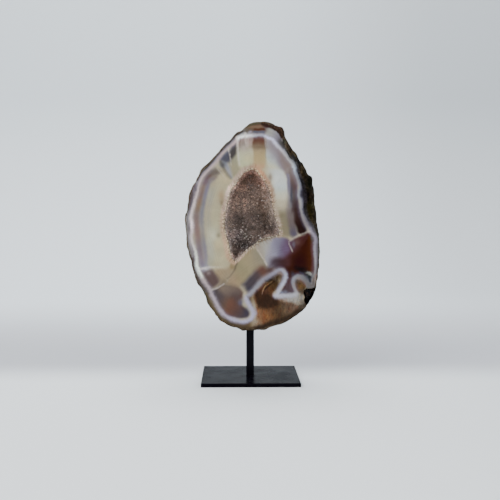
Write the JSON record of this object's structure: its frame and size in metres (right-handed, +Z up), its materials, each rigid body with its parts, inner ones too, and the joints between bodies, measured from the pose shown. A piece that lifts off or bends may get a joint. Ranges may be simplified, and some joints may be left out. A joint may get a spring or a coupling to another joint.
{
  "type": "agate geode half on a stand",
  "caption": "Polished half of an agate geode with a crystal-lined hollow, standing upright on a steel post and a square plate.",
  "frame": {"origin": "middle of the plate's underside, on the surface that it stands on", "axes": "+Z up, the polished face looks along -Y, +X to the viewer's right"},
  "size_m": [0.1388, 0.1, 0.267],
  "materials": {
    "agate": "banded agate, polished on the face and rough on the back",
    "druse": "fine quartz crystals, glittering",
    "black_paint": "satin black coating on steel"
  },
  "bodies": {
    "root": {"agate_stone": "agate", "druzy_crystals": "druse", "stand_post": "black_paint", "stand_plate": "black_paint"}
  },
  "joints": []
}
